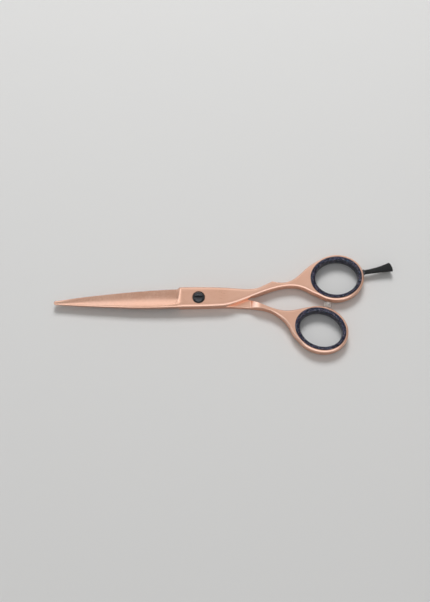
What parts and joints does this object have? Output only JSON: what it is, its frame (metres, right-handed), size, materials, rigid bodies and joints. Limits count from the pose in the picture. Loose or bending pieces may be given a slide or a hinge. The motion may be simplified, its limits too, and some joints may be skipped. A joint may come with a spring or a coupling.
{
  "type": "hair cutting shears",
  "caption": "Hair cutting shears: two offset halves on a tension screw, oval finger rings with flanged inserts, a silencing bumper and a screw-in finger rest.",
  "frame": {"origin": "on the pivot axis, in the plane that the shears rest on, which is the outer face of the pivot nut", "axes": "+X from the pivot towards the finger rings with the blades along -X, +Y towards the finger ring's side, +Z along the pivot axis, out of the screw's head"},
  "size_m": [0.1673, 0.0508, 0.007],
  "materials": {
    "coated_steel": "satin rose-gold coating, bare along the cutting edges",
    "coated_nut": "satin rose-gold coating, turned",
    "washer_polymer": "matt low-friction polymer",
    "glitter_insert": "glossy dark navy with fine glitter",
    "clear_rubber": "translucent, semi-gloss",
    "bush_bronze": "turned, dry",
    "spring_steel": "bright",
    "black_steel": "glossy black",
    "rest_rubber": "matt dark grey"
  },
  "bodies": {
    "thumb_side": {"thumb_half": "coated_steel", "pivot_nut": "coated_nut", "ride_washer": "washer_polymer", "thumb_ring_insert": "glitter_insert", "bumper": "clear_rubber"},
    "finger_side": {"finger_half": "coated_steel", "pivot_bush": "bush_bronze", "wave_washer": "spring_steel", "head_washer": "black_steel", "finger_ring_insert": "glitter_insert"},
    "tension_screw": {"pivot_screw": "black_steel"},
    "finger_rest": {"finger_rest_stud": "black_steel", "finger_rest": "rest_rubber"}
  },
  "joints": [
    {"name": "blade_open", "type": "hinge", "parent": "thumb_side", "child": "finger_side", "pos_m": [0, 0, 0], "axis": [0, 0, 1], "range_deg": [0, 110]},
    {"name": "tension_turn", "type": "hinge", "parent": "thumb_side", "child": "tension_screw", "pos_m": [0, 0, 0], "axis": [0, 0, 1], "range_deg": [-90, 90]},
    {"name": "rest_unscrew", "type": "hinge", "parent": "finger_side", "child": "finger_rest", "pos_m": [0.0812, 0.0141, 0.00305], "axis": [0.9877, 0.1564, 0], "range_deg": [0, 360]}
  ]
}
